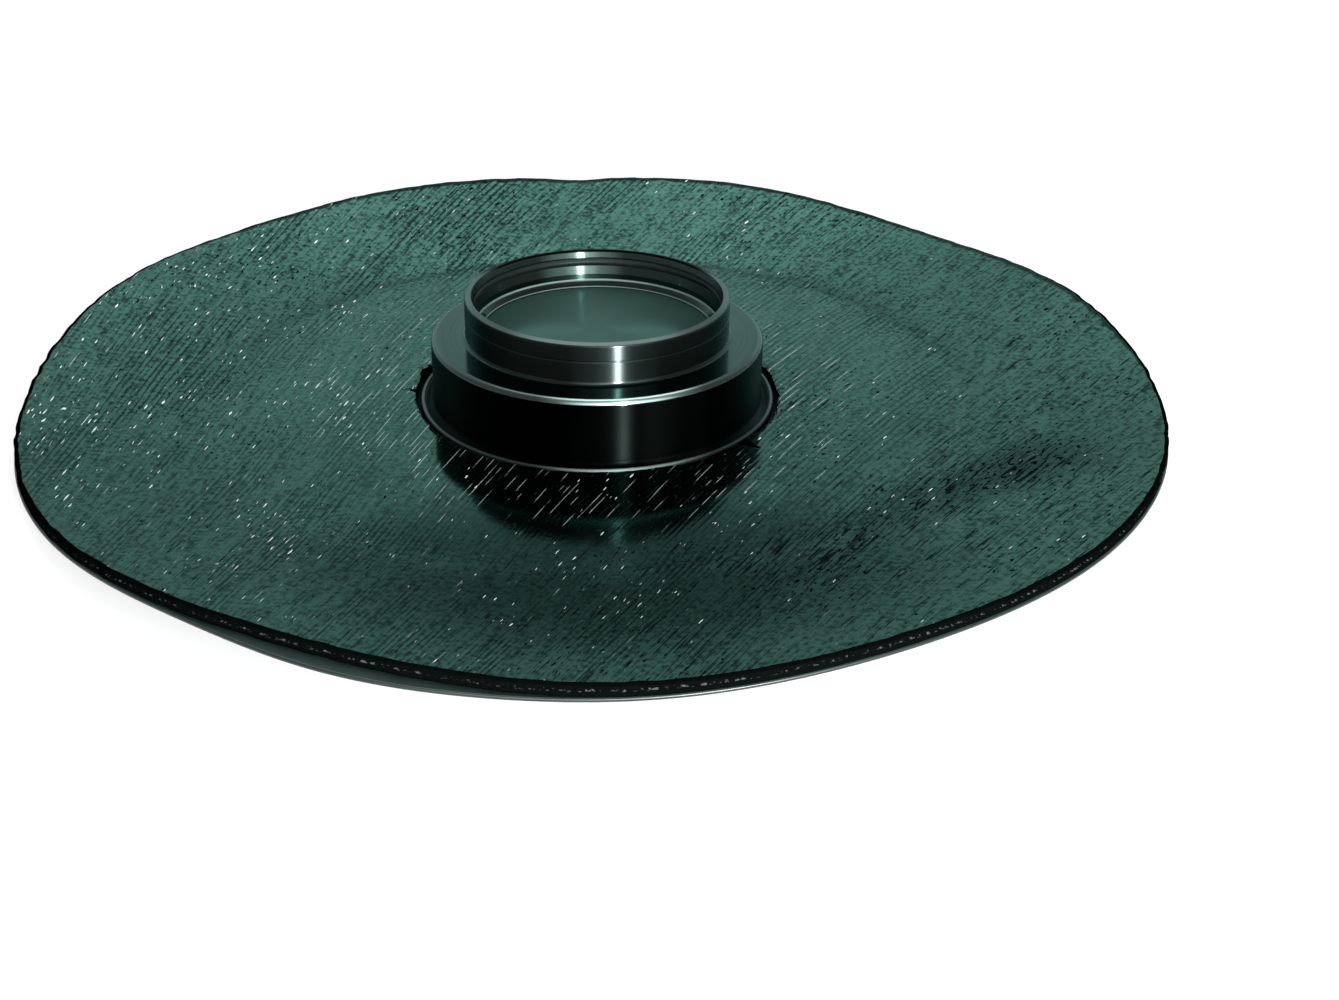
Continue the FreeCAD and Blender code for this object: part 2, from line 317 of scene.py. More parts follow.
def rounded_section(corners):
    """A section line with rounded corners.

    corners holds (radius, level, rounding). Each rounded corner becomes an arc that is tangent to both sides,
    so its trim on each side is rounding times the tangent of half the turn.
    """
    spots = np.array([(radius, level) for radius, level, rounding in corners])
    line = []
    for index, (radius, level, rounding) in enumerate(corners):
        if rounding == 0 or index in (0, len(corners) - 1):
            line.append(spots[index][None])
            continue
        back = spots[index - 1] - spots[index]
        ahead = spots[index + 1] - spots[index]
        back /= np.linalg.norm(back)
        ahead /= np.linalg.norm(ahead)
        bend = math.pi - math.acos(np.clip(back @ ahead, -1, 1))
        trim = rounding * math.tan(bend / 2)
        middle = (back + ahead) / np.linalg.norm(back + ahead)
        centre = spots[index] + middle * rounding / math.cos(bend / 2)
        start = spots[index] + back * trim - centre
        sense = math.copysign(1, start[1] * back[0] - start[0] * back[1])
        turn = sense * np.linspace(0, bend, 3 + min(5, int(rounding / ARC_STEP)))
        arc = np.stack([start[0] * np.cos(turn) - start[1] * np.sin(turn),
                        start[0] * np.sin(turn) + start[1] * np.cos(turn)], axis=-1)
        line.append(centre + arc)
    return np.vstack(line)


def divided(line, longest):
    """The section line with its long stretches divided, with extra points close beside each corner."""
    parts = []
    for start, end in zip(line[:-1], line[1:]):
        run = np.linalg.norm(end - start)
        inset = min(0.25 * MM, run / 3)
        stops = np.linspace(inset, run - inset, max(2, int(run / longest)))
        if run < 4 * inset:
            stops = np.empty(0)
        fractions = np.concatenate([[0], stops / run])
        parts.append(start + fractions[:, None] * (end - start))
    return np.vstack(parts + [line[-1:]])


def turned_points(line, count):
    """The section line carried round Z: each point keeps its level and goes round at its radius.

    The second result is the surface's place: share of the turn, and metres along the section.
    """
    angle = turn_angles(count)
    radius = line[:, 0][:, None]
    level = np.broadcast_to(line[:, 1][:, None], (len(line), count))
    points = np.stack([radius * np.cos(angle), radius * np.sin(angle), level], axis=-1)
    along = np.concatenate([[0], np.cumsum(np.linalg.norm(np.diff(line, axis=0), axis=1))])
    turn = np.arange(count + 1) / count
    uv = np.stack(np.broadcast_arrays(turn[None, :], along[:, None]), axis=-1)
    return points, uv


# The sheets' form

def around(values, angle):
    """A smooth wave round the turn through values at even stations (trigonometric interpolation)."""
    stations = turn_angles(len(values))
    offset = np.asarray(angle)[..., None] - stations
    half = np.tan(offset / 2)
    near = np.abs(half) < 1e-9
    kernel = np.sin(len(values) * offset / 2) / (len(values) * np.where(near, 1, half))
    return np.where(near, 1, kernel) @ np.array(values, float)


def ramp(distance, softness):
    """Zero before the start and the distance after it, with a soft bend between."""
    return (distance + np.sqrt(distance * distance + softness * softness)) / 2


def smooth_step(value):
    """An S-curve from 0 to 1."""
    value = np.clip(value, 0, 1)
    return value * value * (3 - 2 * value)


def value_noise(first, second, seed, period=256):
    """Smooth noise from 0 to 1: seeded values on a lattice of whole numbers, blended by S-curves.

    It repeats after period whole numbers of first.
    """
    table = np.random.default_rng(seed).random((period, 256))
    column = np.floor(first).astype(int)
    line = np.floor(second).astype(int)
    across = smooth_step(first - column)
    along = smooth_step(second - line)

    def corner(right, up):
        return table[(column + right) % period, (line + up) % 256]

    lower = corner(0, 0) * (1 - across) + corner(1, 0) * across
    upper = corner(0, 1) * (1 - across) + corner(1, 1) * across
    return lower * (1 - along) + upper * along


def ring_noise(angle, count, row, seed):
    """Noise from -0.5 to 0.5 round the turn, with count swings, on a row of its own for each level."""
    return value_noise(angle * count / (2 * math.pi), row + 0 * angle, seed, count) - 0.5


def edge_radius(sizes, angle):
    """Radius of the bitumen sheet's cut edge."""
    return sizes.sheet_radius + MM * around(EDGE_RUN_OUT, angle)


def reach(sizes, angle):
    """How far the backing stands out from under the sheet: a margin, and a bell-shaped bump to one side."""
    turn = (np.mod(angle, 2 * math.pi) - REACH_DIRECTION) / REACH_SPREAD
    return sizes.backing_margin + sizes.backing_reach * np.exp(-turn * turn)


def nicks(sizes, angle):
    """Depth of the nicks torn in the hole's edge, each a bell shape round its direction."""
    depth = 0 * angle
    for direction, deep, wide in HOLE_NICKS:
        turn = (np.mod(angle, 2 * math.pi) - direction) * sizes.sheet_hole / wide
        depth = depth + deep * np.exp(-turn * turn)
    return depth


def way_out(sizes, collar, radius, angle):
    """Share of the way from the crease to the cut edge, with a soft start."""
    crease = collar.flange_radius + CREASE_OUT
    return ramp(radius - crease, CREASE_SOFTNESS) / (edge_radius(sizes, angle) - crease)


def curl(sizes, collar, radius, angle):
    """Rise of the skirt: the lift at the edge, with its dip, times a slope and a square of the way out."""
    out = way_out(sizes, collar, radius, angle)
    dip = (np.mod(angle, 2 * math.pi) - DIP_DIRECTION) / DIP_SPREAD
    lift = sizes.edge_lift + MM * around(EDGE_WAVE, angle) - DIP_DEPTH * np.exp(-dip * dip)
    return lift * (CURL_SLOPE * out + (1 - CURL_SLOPE) * out * out)


def drape(sizes, collar, radius, angle):
    """Level of the sheet's underside: on the flange, down an S-curve to the backing, up with the skirt."""
    run = sizes.drape_radius - collar.flange_radius
    fall = collar.flange_top - collar.flange_under
    way = smooth_step((radius - collar.flange_radius + 0.15 * run) / (1.3 * run))
    return collar.flange_top - fall * way + curl(sizes, collar, radius, angle)


def bow(sizes, collar, radius, angle):
    """Rise of the sheet's top at the front: a straight slope up to the crease, and none at the edge."""
    front = smooth_step((np.cos(angle - BOW_DIRECTION) - 0.3) / 0.6)
    crease = collar.flange_radius + CREASE_OUT
    climb = ramp(radius - sizes.sheet_hole - 8 * MM, 6 * MM) - ramp(radius - crease, CREASE_SOFTNESS)
    return BOW_SLOPE * front * climb * (1 - way_out(sizes, collar, radius, angle))


def drape_top(sizes, collar, radius, angle):
    """Level of the sheet's top: flat over the flange but for the bow, then straight to the cut edge."""
    fall = (collar.flange_top - collar.flange_under) * way_out(sizes, collar, radius, angle)
    level = collar.flange_top - fall + curl(sizes, collar, radius, angle)
    return level + bow(sizes, collar, radius, angle) + sizes.sheet_thickness


def grain_relief(x, y):
    """Ridges of the brushed grain: noise stretched along lines that fan out from the grain's point."""
    across = np.arctan2(y - GRAIN_POINT[1], x - GRAIN_POINT[0]) * GRAIN_DISTANCE
    along = np.hypot(x - GRAIN_POINT[0], y - GRAIN_POINT[1])
    across = across + GRAIN_BEND * (along - GRAIN_MIDDLE) ** 2
    broad = value_noise(across / (9 * MM), along / (70 * MM), 3)
    fine = value_noise(across / (4.2 * MM), along / (34 * MM), 4)
    return 0.16 * MM * (broad - 0.5) + 0.12 * MM * (fine - 0.5)


def swells(x, y):
    """Long low swells of the hand-laid sheet, as noise in two sizes."""
    wide = value_noise(x / (85 * MM) + 40, y / (85 * MM) + 40, 5)
    close = value_noise(x / (36 * MM) + 80, y / (36 * MM) + 80, 6)
    return 0.5 * MM * (wide - 0.5) + 0.16 * MM * (close - 0.5)


def upper_sheet_points(sizes, collar):
    """The bitumen sheet as a closed section carried round the turn.

    The section runs out along the top, down the cut edge, in along the underside and up the hole's wall.
    The top has the drape's level, swells and grain; the edge and the hole are roughly cut.
    The second result is the surface's place: share of the turn, and the height on the cut edge from 0 to 1,
    which goes on over the top with the metres in from the edge. The third gives each row its material.
    """
    angle = turn_angles(SHEET_POINTS)[None, :]
    middle_way = np.linspace(0.016, 0.984, 92)
    top_way = np.concatenate([[0, 0.003, 0.008], middle_way, [0.991, 0.996, 0.999]])[:, None]
    under_way = np.linspace(1, 0, 26)[:, None]
    tear = ring_noise(angle, 90, 0, 11)
    fray = ring_noise(angle, 360, 0, 12)
    hole = sizes.sheet_hole + MM * (1.3 * tear + 0.5 * fray) + nicks(sizes, angle)
    saw = ring_noise(angle, 240, 0, 13)
    edge = edge_radius(sizes, angle) + MM * (0.7 * saw + 0.3 * fray)

    # The top
    radius = hole + (edge - hole) * top_way
    x = radius * np.cos(angle)
    y = radius * np.sin(angle)
    fade = smooth_step((radius - hole) / (12 * MM)) * smooth_step((edge - radius) / (8 * MM))
    calm = 0.25 + 0.75 * smooth_step((radius - 0.130) / 0.045)
    swelling = fade * swells(x, y) * smooth_step((radius - hole) / (90 * MM))
    relief = swelling + calm * (0.3 + 0.7 * fade) * grain_relief(x, y)
    corner = 0.9 * MM * (1 - np.minimum(np.minimum(radius - hole, edge - radius) / (1.2 * MM), 1)) ** 2
    top = drape_top(sizes, collar, radius, angle) + relief - corner
    inward = edge - radius
    parts = [(radius, top)]

    # The cut edge, from its top down, as heights and bulges
    drop = np.array([0.86, 0.66, 0.56, 0.50, 0.44, 0.34, 0.16, 0.06])[:, None]
    bulge = MM * np.array([0.25, 0.2, -0.35, 0.35, -0.35, 0.15, 0.25, 0.1])[:, None]
    rough = MM * 0.5 * ring_noise(angle, 360, 9 * drop, 14)
    edge_under = drape(sizes, collar, edge, angle)
    parts.append((edge + bulge + rough, edge_under + sizes.sheet_thickness * drop + 0 * angle))

    # The underside
    radius = hole + (edge - hole) * under_way
    parts.append((radius, drape(sizes, collar, radius, angle)))

    # The hole's wall, from its bottom up
    climb = np.array([0.1, 0.3, 0.5, 0.7, 0.85])[:, None]
    rough = MM * 0.6 * ring_noise(angle, 300, 7 * climb, 15)
    hole_under = drape(sizes, collar, hole, angle)
    parts.append((hole + rough, hole_under + sizes.sheet_thickness * climb + 0 * angle))

    radius = np.vstack([part[0] for part in parts])
    level = np.vstack([part[1] for part in parts])
    points = np.stack([radius * np.cos(angle), radius * np.sin(angle), level], axis=-1)

    # Rows of faces on the cut edge and on the hole's wall take the second material
    skin = np.zeros(len(radius), int)
    first = len(top_way) - 1
    skin[first - 2:first + len(drop) + 1] = 1
    skin[-len(climb) - 1:] = 1
    heights = np.zeros((len(radius), SHEET_POINTS + 1))
    heights[len(top_way):len(top_way) + len(drop)] = drop
    heights[:len(top_way)] = 1 + np.hstack([inward, inward[:, :1]])
    turn = np.broadcast_to(np.arange(SHEET_POINTS + 1) / SHEET_POINTS, heights.shape)
    return points, np.stack([turn, heights], axis=-1), skin


def backing_points(sizes, collar):
    """The backing as a closed section carried round the turn: flat on the ground, curled as the sheet is.

    The second result is the surface's place: share of the turn, and share of the way round the section.
    """
    angle = turn_angles(SHEET_POINTS)[None, :]
    out = np.concatenate([np.linspace(0, 0.62, 8), np.linspace(0.64, 0.985, 30), [0.992, 0.997, 1]])[:, None]
    edge = edge_radius(sizes, angle) + reach(sizes, angle)
    hole = sizes.backing_hole
    radius = hole + (edge - hole) * out
    under = curl(sizes, collar, radius, angle) - curl(sizes, collar, np.array(sizes.backing_hole), angle)
    middle = 0.5 * sizes.backing_thickness + under[-1:]
    radius = np.vstack([radius, edge + 0.25 * MM, radius[::-1]])
    level = np.vstack([under + sizes.backing_thickness, middle, under[::-1]])
    points = np.stack([radius * np.cos(angle), radius * np.sin(angle), level], axis=-1)
    turn = np.arange(SHEET_POINTS + 1) / SHEET_POINTS
    along = np.linspace(0, 1, len(radius))
    return points, np.stack(np.broadcast_arrays(turn[None, :], along[:, None]), axis=-1)


# Shader nodes

class Field:
    """A value that changes over a surface: a shader socket whose sums are written as plain arithmetic."""

    def __init__(self, tree, socket):
        self.tree = tree
        self.socket = socket

    def worked(self, operation, *others):
        """The output of a Math node that takes this value first."""
        return sum_of(self.tree, operation, self, *others)

    def __add__(self, other):
        return self.worked("ADD", other)

    def __sub__(self, other):
        return self.worked("SUBTRACT", other)

    def __rsub__(self, other):
        return sum_of(self.tree, "SUBTRACT", other, self)

    def __mul__(self, other):
        return self.worked("MULTIPLY", other)

    def __truediv__(self, other):
        return self.worked("DIVIDE", other)

    def __abs__(self):
        return self.worked("ABSOLUTE")

    __radd__ = __add__
    __rmul__ = __mul__

    def larger(self, other):
        """The larger of two values."""
        return self.worked("MAXIMUM", other)

    def stepped(self, low, high):
        """A smooth mask: 0 at low and 1 at high, whichever of the two is the larger number."""
        ranged = node(self.tree, "MapRange", {"Value": self, "From Min": low, "From Max": high},
                      interpolation_type="SMOOTHSTEP")
        return Field(self.tree, ranged.outputs[0])

    def above(self, limit, soft):
        """A mask that is 1 above a limit, with a soft edge of twice the softness."""
        return self.stepped(limit - soft, limit + soft)

    def below(self, limit, soft):
        """A mask that is 1 below a limit, with the same kind of edge."""
        return self.stepped(limit + soft, limit - soft)

    def between(self, low, high, soft):
        """A mask that is 1 between two limits, with the same kind of edges."""
        return self.above(low, soft) * self.below(high, soft)


def feed(tree, socket, value):
    """Gives a socket a value of its own, or links it to a field or to another node's output."""
    source = value.socket if isinstance(value, Field) else value
    if isinstance(source, bpy.types.NodeSocket):
        tree.links.new(source, socket)
    else:
        socket.default_value = source


def node(tree, kind, inputs=None, **settings):
    """Adds a shader node with its settings, and feeds its inputs."""
    made = tree.nodes.new("ShaderNode" + kind)
    for name, value in settings.items():
        setattr(made, name, value)
    for name, value in (inputs or {}).items():
        feed(tree, made.inputs[name], value)
    return made


def sum_of(tree, operation, *values):
    """The output of a Math node."""
    return Field(tree, node(tree, "Math", dict(enumerate(values)), operation=operation).outputs[0])


def distance(first, second):
    """The length of the diagonal of two fields."""
    return (first * first + second * second).worked("SQRT")


def blended(factor, first, second):
    """A colour between two colours, by a field."""
    mixed = node(factor.tree, "Mix", {0: factor, 6: first, 7: second}, data_type="RGBA")
    return Field(factor.tree, mixed.outputs[2])


def faded(factor, first, second):
    """A value between two values, by a field."""
    return Field(factor.tree, node(factor.tree, "Mix", {0: factor, 2: first, 3: second}).outputs[0])


def paint(tint, strength=1.0):
    """A property's colour at a strength, with full alpha."""
    return (*(strength * part for part in tint), 1.0)


def object_place(tree):
    """The place of a point in the object's own frame, in metres."""
    return node(tree, "TexCoord").outputs["Object"]


def surface_place(tree):
    """The place of a point in the piece's own UV map."""
    return node(tree, "UVMap", uv_map="surface").outputs[0]


def axes_of(tree, vector):
    """The three parts of a vector, as fields."""
    return [Field(tree, part) for part in node(tree, "SeparateXYZ", {0: vector}).outputs]


def noise(tree, place, scale, detail):
    """Cloudy noise from 0 to 1 over a place."""
    return Field(tree, node(tree, "TexNoise", {"Vector": place, "Scale": scale, "Detail": detail}).outputs[0])


def flat_noise(tree, first, second, detail):
    """Noise from 0 to 1 over two fields, with swings about one unit long."""
    place = node(tree, "CombineXYZ", {0: first, 1: second})
    swings = node(tree, "TexNoise", {"Vector": place.outputs[0], "Scale": 1.0, "Detail": detail},
                  noise_dimensions="2D")
    return Field(tree, swings.outputs[0])


def bumped(tree, height, depth, strength):
    """The normal of a surface that a height field raises by up to a depth."""
    bump = node(tree, "Bump", {"Height": height, "Distance": depth, "Strength": strength})
    return bump.outputs[0]


# Shader node groups

def new_group(name, values, outputs):
    """An empty shader node group with a Place input, further value inputs and value outputs, all named."""
    group = bpy.data.node_groups.new(name, "ShaderNodeTree")
    group.interface.new_socket("Place", in_out="INPUT", socket_type="NodeSocketVector")
    for socket in values:
        group.interface.new_socket(socket, in_out="INPUT", socket_type="NodeSocketFloat")
    for socket in outputs:
        group.interface.new_socket(socket, in_out="OUTPUT", socket_type="NodeSocketFloat")
    return group, group.nodes.new("NodeGroupInput").outputs


def close_group(group, fields):
    """Feeds a group's outputs from fields by name."""
    end = group.nodes.new("NodeGroupOutput")
    for name, field in fields.items():
        feed(group, end.inputs[name], field)
    return group


def placed(tree, group, inputs):
    """Places a group in a material with its own values. The result gives its outputs as fields by name."""
    made = node(tree, "Group", inputs, node_tree=group)
    return {output.name: Field(tree, output) for output in made.outputs}


def cloudy_gloss_group():
    """Cloudiness that several finishes share.

    Cloud is noise over the place, of a scale and a detail. Roughness goes with it from the least to the most.
    """
    name = "cloudy gloss"
    if name in bpy.data.node_groups:
        return bpy.data.node_groups[name]
    group, given = new_group(name, ("Scale", "Detail", "Least", "Most"), ("Cloud", "Roughness"))
    cloud = noise(group, given["Place"], given["Scale"], given["Detail"])
    return close_group(group, {"Cloud": cloud, "Roughness": faded(cloud, given["Least"], given["Most"])})


def fan_grain_group(flange_radius):
    """Grain that fans out from the grain's point, as the relief of the sheet's mesh does.

    Height is a relief of even lines, finer streaks and mottling, with a faint ring over the flange's edge.
    It is calmer inside that ring, and its lines are weak on the skirt at the right.
    Glint marks painted glints: pale specks, which crowd to the left, and thin pale dashes on the ridges near
    the collar. Pit marks short hollows and longer strokes along the grain, sunk in the relief and painted
    dark as painted shade; they crowd to the right, at the front and in the shade band. Fold marks a soft band
    of painted shade at the right front, along a parabola. Tone is the unevenness of the gloss, from 0 dull to
    1 bright, with painted shade in the furrows between the lines.
    """
    name = "fan grain"
    if name in bpy.data.node_groups:
        return bpy.data.node_groups[name]
    group, given = new_group(name, ("Spacing", "Length"), ("Height", "Fleck", "Pit", "Tone", "Fold"))
    place = given["Place"]
    x, y = axes_of(group, place)[:2]
    right = x - GRAIN_POINT[0]
    ahead = y - GRAIN_POINT[1]
    along = distance(right, ahead)
    off_middle = along - GRAIN_MIDDLE
    across = ahead.worked("ARCTAN2", right) * GRAIN_DISTANCE + off_middle * off_middle * GRAIN_BEND
    lines_across = across / given["Spacing"]
    lines_along = along / given["Length"]

    def streaks(width, run, shift, detail):
        """Noise drawn out along the grain: its swings are width lines across and run lengths along."""
        return flat_noise(group, lines_across / width + shift, lines_along / run, detail)

    from_axis = distance(x, y)
    right_skirt = x.stepped(0.05, 0.13) * from_axis.stepped(0.164, 0.180)
    right_flat = x.stepped(-0.06, 0.09) * from_axis.stepped(0.172, 0.160)
    by_collar = from_axis.stepped(0.155, 0.110)
    # The band of painted shade at the right front, along a parabola
    band_run = (SHADE_BAND_END[0] - x) / SHADE_BAND_RUN
    off_band = abs(SHADE_BAND_END[1] - band_run * band_run * SHADE_BAND_DROP - y)
    shade_band = off_band.stepped(0.036, 0.004) * x.stepped(0.065, 0.105) * x.stepped(0.250, 0.175)

    wander = streaks(7.0, 4.0, 5.0, 1.0)
    wave = ((lines_across + wander * 1.2) * (2 * math.pi)).worked("SINE")
    stretches = streaks(11.0, 4.0, 13.0, 1.0)
    lines = wave * (0.15 + stretches.stepped(0.44, 0.66)) * (1.0 - right_skirt * 0.8)
    fine = streaks(0.45, 0.9, 31.0, 2.0)
    mottle = noise(group, place, 430.0, 2.0)

    to_left = x * -0.22
    # Painted glints: pale specks that crowd to the left, and pale dashes on the ridges near the collar
    crowd = noise(group, place, 20.0, 2.0) * 0.36 + to_left
    glint_specks = (streaks(0.42, 0.26, 67.0, 0.0) + crowd).stepped(1.06, 1.12)
    runs = streaks(1.0, 0.80, 91.0, 3.0) + by_collar * 0.18 + to_left
    dashes = wave.stepped(0.84, 0.98) * runs.stepped(0.72, 0.82)
    glint = glint_specks.larger(dashes * 0.5)

    # Painted shade in pits and strokes, crowding into the shade band and towards the front
    in_shade_band = shade_band * 0.10
    hollows = streaks(0.55, 0.16, 41.0, 1.0) + noise(group, place, 14.0, 1.0) * 0.28 + in_shade_band
    strokes = streaks(0.40, 0.75, 23.0, 1.0) - to_left + in_shade_band + noise(group, place, 16.0, 1.0) * 0.35
    strokes = strokes + y.stepped(-0.05, -0.18) * 0.04
    pit_shade = hollows.stepped(0.87, 0.96).larger(strokes.stepped(0.93, 1.0) * 0.8)

    # Painted shade in the furrows between the lines darkens the tone
    ruled = (stretches + right_flat * 0.14).stepped(0.44, 0.62)
    furrow = wave.stepped(-0.25, -0.95) * ruled * (0.14 - right_skirt * 0.12)
    tone = (mottle * 0.6 + fine * 0.4 - furrow).stepped(0.30, 0.62)

    ring = 1.0 - abs(from_axis - flange_radius).stepped(0.3 * MM, 1.6 * MM)
    height = lines * 0.12 + fine * 0.28 + mottle * 0.20 + glint * 0.5 - pit_shade * 0.6 + ring * 0.12
    calm = 0.20 + from_axis.stepped(0.110, 0.140) * 0.15 + from_axis.stepped(0.150, 0.175) * 0.65
    fields = {"Height": height * calm, "Fleck": glint, "Pit": pit_shade, "Tone": tone, "Fold": shade_band}
    return close_group(group, fields)


# Materials

def new_material(name):
    """A material whose empty tree gets a Principled shader and an output."""
    material = bpy.data.materials.new(name)
    material.use_nodes = True
    tree = material.node_tree
    tree.nodes.clear()
    shader = node(tree, "BsdfPrincipled")
    node(tree, "OutputMaterial", {"Surface": shader.outputs[0]})
    return material, tree, shader


def set_up(tree, shader, inputs):
    """Feeds a shader's sockets by name."""
    for name, value in inputs.items():
        feed(tree, shader.inputs[name], value)


def collar_plastic(finish, size):
    """Dark moulded plastic, glossy, with fine marks round the turn that draw its gloss into upright streaks.

    Zones by radius and level change its paint, its metal share and its roughness, and most of them paint
    light
    and shade into it: the ring's outside and the body's wall carry painted shade that goes near black towards
    the sides, with a painted highlight towards the front on the ring and a narrow painted highlight streak at
    the right front on the wall; inside the socket a paler copy of the plastic is a painted highlight that
    brightens its gloss;
    the shoulder's edge and the foot's bead carry painted highlights, palest at the front, and so does the rim
    but for its back, which is painted dark as painted shade; then the closed floor, and the pale lines round
    it, which are painted highlights.
    """
    material, tree, shader = new_material("collar_plastic")
    turn, along = axes_of(tree, surface_place(tree))[:2]
    marks = flat_noise(tree, along * 2600.0, turn * 7.0, 4.0)
    place = object_place(tree)
    haze = placed(tree, cloudy_gloss_group(), {"Place": place, "Scale": 60.0, "Detail": 3.0,
                                               "Least": 0.06, "Most": 0.10})
    x, y, level = axes_of(tree, place)
    from_axis = distance(x, y)

    def facing(right, front):
        """How squarely the side faces a level direction, from -1 to 1."""
        return (x * right - y * front) / from_axis

    ring_side = size.ring_radius - 1.4 * MM
    inside = from_axis.below(ring_side, 0.4 * MM)
    outside = from_axis.above(ring_side, 0.4 * MM)
    floor_edge = size.bore_radius - size.floor_bevel
    floor_top = size.floor_top
    outer_ring = outside * level.above(size.shoulder_top + 0.9 * MM, 0.6 * MM)
    wall = outside * level.below(size.shoulder_top - 2.0 * MM, 0.2 * MM)
    inner_wall = inside * level.above(floor_top + 2.15 * MM, 1.45 * MM)
    shoulder_edge = level.between(size.shoulder_top - 1.9 * MM, size.shoulder_top, 0.2 * MM)
    shoulder_edge = shoulder_edge * from_axis.above(size.body_radius - 2.5 * MM, 0.4 * MM)
    rim = from_axis.between(size.mouth_radius + 0.7 * MM, size.ring_radius - 0.4 * MM, 0.3 * MM)
    rim = rim * level.above(size.rim_top - 1.35 * MM, 0.15 * MM) * y.below(22.5 * MM, 12.5 * MM)
    # The back of the rim, which takes painted shade
    rim_back_shade = level.above(size.rim_top - 1.1 * MM, 0.2 * MM) * y.above(25 * MM, 10 * MM)
    bead = from_axis.between(size.foot_radius - 2.2 * MM, size.foot_radius + 0.4 * MM, 0.2 * MM)
    bead = bead * level.between(size.foot_top - 0.3 * MM, size.foot_top + 1.7 * MM, 0.2 * MM)
    floor_face = from_axis.below(floor_edge - 0.4 * MM, 0.4 * MM)
    floor_face = floor_face * level.between(floor_top - 0.5 * MM, floor_top + 0.5 * MM, 0.3 * MM)
    # Two pale lines round the socket's floor, painted highlights
    upper_arc = level.between(floor_top + 2.6 * MM, floor_top + 3.3 * MM, 0.3 * MM)
    lower_arc = level.between(floor_top + 0.3 * MM, floor_top + 0.6 * MM, 0.2 * MM)
    highlight_arcs = upper_arc.larger(lower_arc) * inside * from_axis.above(floor_edge - 1.2 * MM, 1.0 * MM)

    # forward and right_front point towards the front light: the masks made from them paint highlight and
    # shade by how squarely a side faces it
    forward = facing(0.15, 0.989)
    right_front = facing(0.46, 0.888)
    # Painted highlight on the shoulder's edge and the bead: five times paler where they face the front light
    edge_highlight = blended(forward.stepped(0.87, 0.99), paint(finish.plastic_highlight),
                         paint(finish.plastic_highlight, 5))
    # Painted shade and highlight on the ring: near black towards the sides, paler towards the front
    ring_shade_and_highlight = blended(forward.stepped(0.25, 0.90), paint(finish.plastic_ring, 0.015),
                         paint(finish.plastic_ring, 1.35))
    # Painted shade on the body's wall, with a narrow painted highlight streak where it faces the right front
    wall_shade_and_streak = blended(right_front.stepped(0.968, 0.995), paint(finish.plastic_shade),
                         paint(finish.plastic_shade, 6))
    # Less metal towards the sides darkens the ring and the wall further, as painted shade
    ring_metal = faded(forward.stepped(0.0, 0.35), 0.35, 1.0)
    wall_metal = faded(forward.stepped(0.25, 0.60), 0.25, 1.0)

    zones = (
        (outer_ring, ring_shade_and_highlight, ring_metal, 0.23),
        (wall, wall_shade_and_streak, wall_metal, 0.34),
        # Painted highlight: a paler copy of the plastic inside the socket brightens its gloss
        (inner_wall, paint(finish.plastic, 1.9), 1.0, 0.22),
        # Painted highlight on the shoulder's edge
        (shoulder_edge, edge_highlight, 1.0, 0.16),
        # Painted highlight on the rim at the front and the sides
        (rim, paint(finish.plastic_highlight), 1.0, 0.16),
        # Painted highlight on the foot's bead
        (bead, edge_highlight, 1.0, 0.34),
        # Painted shade on the back of the rim
        (rim_back_shade, paint(finish.plastic_shade), 0.4, 0.34),
        (floor_face, paint(finish.web), 0.55, 0.20),
        # Painted highlight: pale lines round the socket's floor
        (highlight_arcs, paint(finish.floor_line_highlight), 0.0, 0.40),
    )
    shade = blended(marks.stepped(0.35, 0.7), paint(finish.plastic, 0.8), paint(finish.plastic, 1.5))
    metal = 1.0
    roughness = haze["Roughness"]
    for mask, zone_paint, zone_metal, zone_roughness in zones:
        shade = blended(mask, shade, zone_paint)
        metal = faded(mask, metal, zone_metal)
        roughness = faded(mask, roughness, zone_roughness)
    tangent = node(tree, "Tangent", direction_type="UV_MAP", uv_map="surface")
    set_up(tree, shader, {
        "Base Color": shade,
        "Metallic": metal,
        "Roughness": roughness,
        "Normal": bumped(tree, marks, 0.02 * MM, 0.6),
        "Tangent": tangent.outputs[0],
        "Anisotropic": 1.0,
        "Anisotropic Rotation": 0.25,
        "Specular IOR Level": 0.0,
        "Specular Tint": paint(finish.plastic_edge),
    })
    return material


def seal_rubber(finish):
    """Black seal rubber with a faint bloom."""
    material, tree, shader = new_material("seal_rubber")
    bloom = placed(tree, cloudy_gloss_group(), {"Place": object_place(tree), "Scale": 400.0, "Detail": 3.0,
                                                "Least": 0.35, "Most": 0.55})
    set_up(tree, shader, {
        "Base Color": blended(bloom["Cloud"], paint(finish.rubber), paint(finish.rubber, 2)),
        "Roughness": bloom["Roughness"],
        "Specular IOR Level": 0.3,
        "Specular Tint": paint(finish.rubber_edge),
    })
    return material


